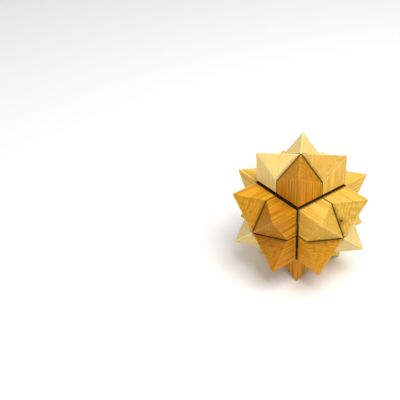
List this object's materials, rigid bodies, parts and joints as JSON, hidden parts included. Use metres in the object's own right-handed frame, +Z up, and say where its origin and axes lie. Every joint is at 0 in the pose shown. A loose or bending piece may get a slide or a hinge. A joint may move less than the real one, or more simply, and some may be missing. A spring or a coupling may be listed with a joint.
{
  "type": "wooden burr puzzle",
  "caption": "Wooden star burr puzzle: interlocking square bars in three directions with roof-cut points, keyed together by sliding tenons.",
  "frame": {"origin": "on the table, under the middle of the star", "axes": "+Z up, away from the ridges that the star rests on; the keys and caps slide along X; the cross bars lie along Y; -Y is the front"},
  "size_m": [0.0646, 0.0646, 0.0663],
  "materials": {
    "cream_wood": "satin varnish",
    "straw_wood": "satin varnish",
    "honey_wood": "satin varnish",
    "amber_wood": "satin varnish"
  },
  "bodies": {
    "core": {"upright_bar_back_right": "cream_wood", "upright_bar_front_right": "straw_wood", "upright_bar_back_left": "cream_wood", "upright_bar_front_left": "amber_wood"},
    "cross_bar_top_right": {"cross_bar_top_right": "straw_wood"},
    "cross_bar_bottom_right": {"cross_bar_bottom_right": "cream_wood"},
    "cross_bar_bottom_left": {"cross_bar_bottom_left": "honey_wood"},
    "cross_bar_top_left": {"cross_bar_top_left": "straw_wood"},
    "key_back_top": {"key_back_top": "cream_wood", "dowel_back_top": "cream_wood"},
    "key_front_bottom": {"key_front_bottom": "straw_wood", "dowel_front_bottom": "cream_wood"},
    "key_back_bottom": {"key_back_bottom": "straw_wood", "dowel_back_bottom": "cream_wood"},
    "key_front_top": {"key_front_top": "honey_wood", "dowel_front_top": "cream_wood"},
    "cap_back_top": {"cap_back_top": "honey_wood"},
    "cap_front_bottom": {"cap_front_bottom": "honey_wood"},
    "cap_back_bottom": {"cap_back_bottom": "cream_wood"},
    "cap_front_top": {"cap_front_top": "straw_wood"}
  },
  "joints": [
    {"name": "key_back_top_slide", "type": "slide", "parent": "core", "child": "key_back_top", "axis": [1, 0, 0], "range_m": [0, 0.042]},
    {"name": "cap_front_top_slide", "type": "slide", "parent": "core", "child": "cap_front_top", "axis": [1, 0, 0], "range_m": [0, 0.042]},
    {"name": "cross_bar_top_right_slide", "type": "slide", "parent": "core", "child": "cross_bar_top_right", "axis": [1, 0, 0], "range_m": [0, 0.021]},
    {"name": "key_front_bottom_slide", "type": "slide", "parent": "core", "child": "key_front_bottom", "axis": [1, 0, 0], "range_m": [0, 0.042]},
    {"name": "cap_back_bottom_slide", "type": "slide", "parent": "core", "child": "cap_back_bottom", "axis": [1, 0, 0], "range_m": [0, 0.042]},
    {"name": "cross_bar_bottom_right_slide", "type": "slide", "parent": "core", "child": "cross_bar_bottom_right", "axis": [1, 0, 0], "range_m": [0, 0.021]},
    {"name": "key_back_bottom_slide", "type": "slide", "parent": "core", "child": "key_back_bottom", "axis": [-1, 0, 0], "range_m": [0, 0.042]},
    {"name": "cap_front_bottom_slide", "type": "slide", "parent": "core", "child": "cap_front_bottom", "axis": [-1, 0, 0], "range_m": [0, 0.042]},
    {"name": "cross_bar_bottom_left_slide", "type": "slide", "parent": "core", "child": "cross_bar_bottom_left", "axis": [-1, 0, 0], "range_m": [0, 0.021]},
    {"name": "key_front_top_slide", "type": "slide", "parent": "core", "child": "key_front_top", "axis": [-1, 0, 0], "range_m": [0, 0.042]},
    {"name": "cap_back_top_slide", "type": "slide", "parent": "core", "child": "cap_back_top", "axis": [-1, 0, 0], "range_m": [0, 0.042]},
    {"name": "cross_bar_top_left_slide", "type": "slide", "parent": "core", "child": "cross_bar_top_left", "axis": [-1, 0, 0], "range_m": [0, 0.021]}
  ],
  "couplings": [
    {"joint": "cap_front_top_slide", "follows": "key_back_top_slide", "ratio": 1},
    {"joint": "cross_bar_top_right_slide", "follows": "key_back_top_slide", "ratio": 0.5},
    {"joint": "cap_back_bottom_slide", "follows": "key_front_bottom_slide", "ratio": 1},
    {"joint": "cross_bar_bottom_right_slide", "follows": "key_front_bottom_slide", "ratio": 0.5},
    {"joint": "cap_front_bottom_slide", "follows": "key_back_bottom_slide", "ratio": 1},
    {"joint": "cross_bar_bottom_left_slide", "follows": "key_back_bottom_slide", "ratio": 0.5},
    {"joint": "cap_back_top_slide", "follows": "key_front_top_slide", "ratio": 1},
    {"joint": "cross_bar_top_left_slide", "follows": "key_front_top_slide", "ratio": 0.5}
  ]
}
